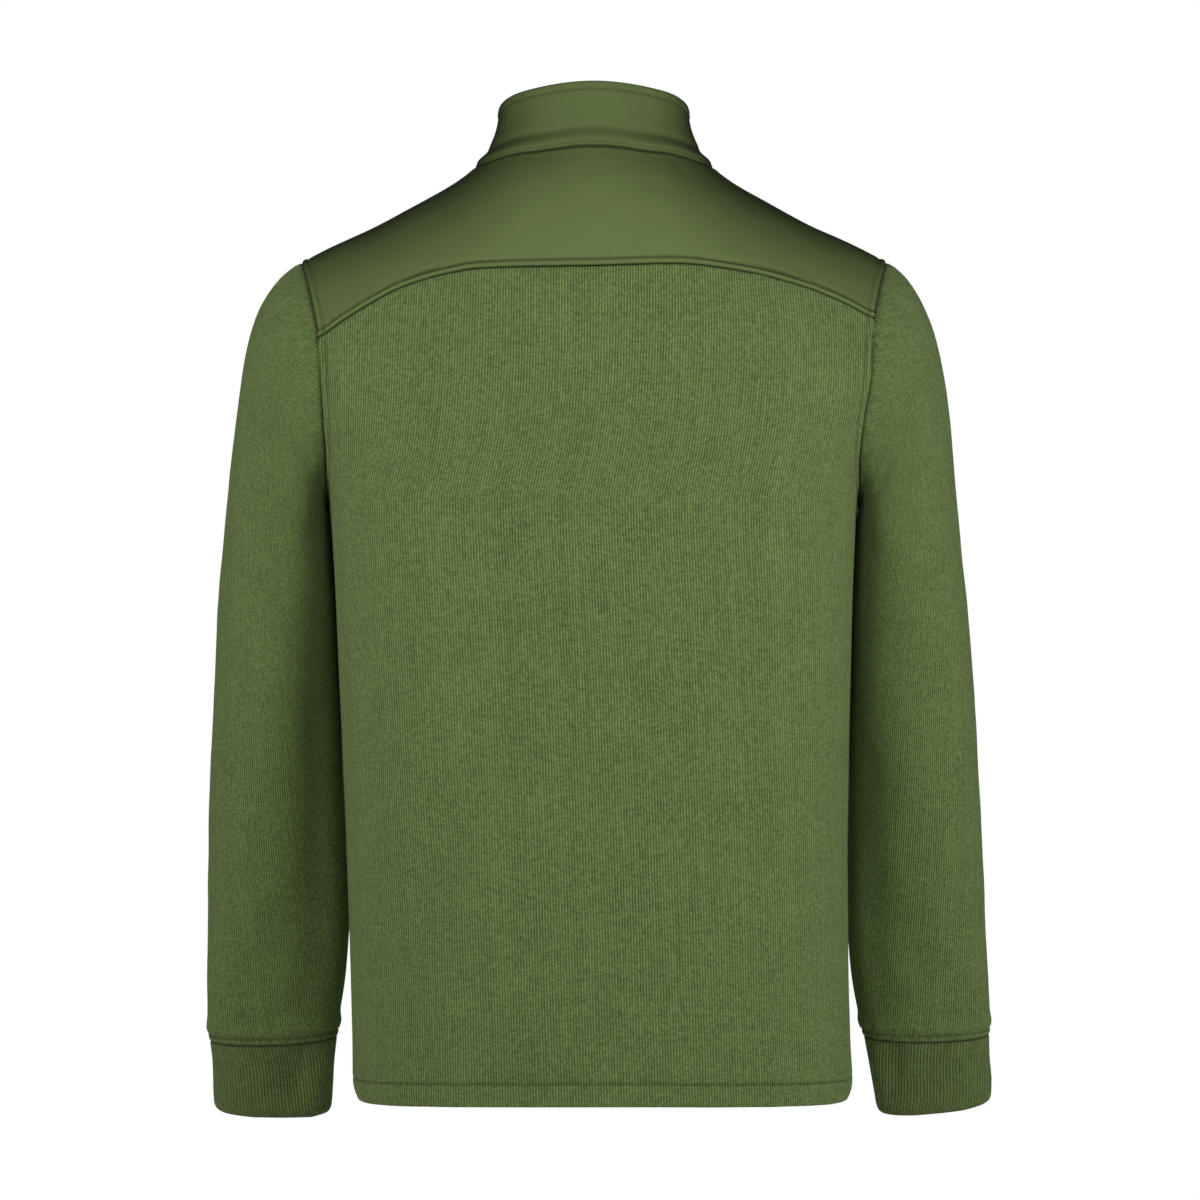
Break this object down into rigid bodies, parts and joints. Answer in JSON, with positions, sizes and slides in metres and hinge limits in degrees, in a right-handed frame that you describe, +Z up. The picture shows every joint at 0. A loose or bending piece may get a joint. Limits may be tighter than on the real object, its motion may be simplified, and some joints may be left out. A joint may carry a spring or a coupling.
{
  "type": "quarter-zip sweatshirt",
  "caption": "Knitted long-sleeved sweatshirt with a stand collar, a smooth shoulder yoke, knit cuffs and a short front zip, filled out as when worn.",
  "frame": {"origin": "middle of the neck, level with the points where the shoulders meet the collar", "axes": "+Z up, the garment's front faces -Y, the wearer's left is +X"},
  "size_m": [0.5975, 0.284, 0.7756],
  "materials": {
    "rib_knit": "moss green fine ribbed knit, matt with a faint nap",
    "smooth_cloth": "moss green smooth jersey, close faced with a soft sheen",
    "cuff_knit": "moss green fine ribbed knit, doubled",
    "zip_tape": "dark green woven tape",
    "zip_teeth": "dark green moulded teeth",
    "zip_metal": "dark green painted metal"
  },
  "bodies": {
    "garment": {"back": "rib_knit", "front": "rib_knit", "yoke": "smooth_cloth", "collar": "smooth_cloth", "sleeve_left": "rib_knit", "sleeve_right": "rib_knit", "cuff_left": "cuff_knit", "cuff_right": "cuff_knit", "zip_tape_left": "zip_tape", "zip_tape_right": "zip_tape", "zip_teeth": "zip_teeth", "zip_slider": "zip_metal"},
    "pull_tab": {"zip_pull": "zip_metal"}
  },
  "joints": [
    {"name": "zip_pull_hinge", "type": "hinge", "parent": "garment", "child": "pull_tab", "pos_m": [0, -0.09334, -0.01707], "axis": [-1, 0, 0], "range_deg": [-3, 110]}
  ]
}
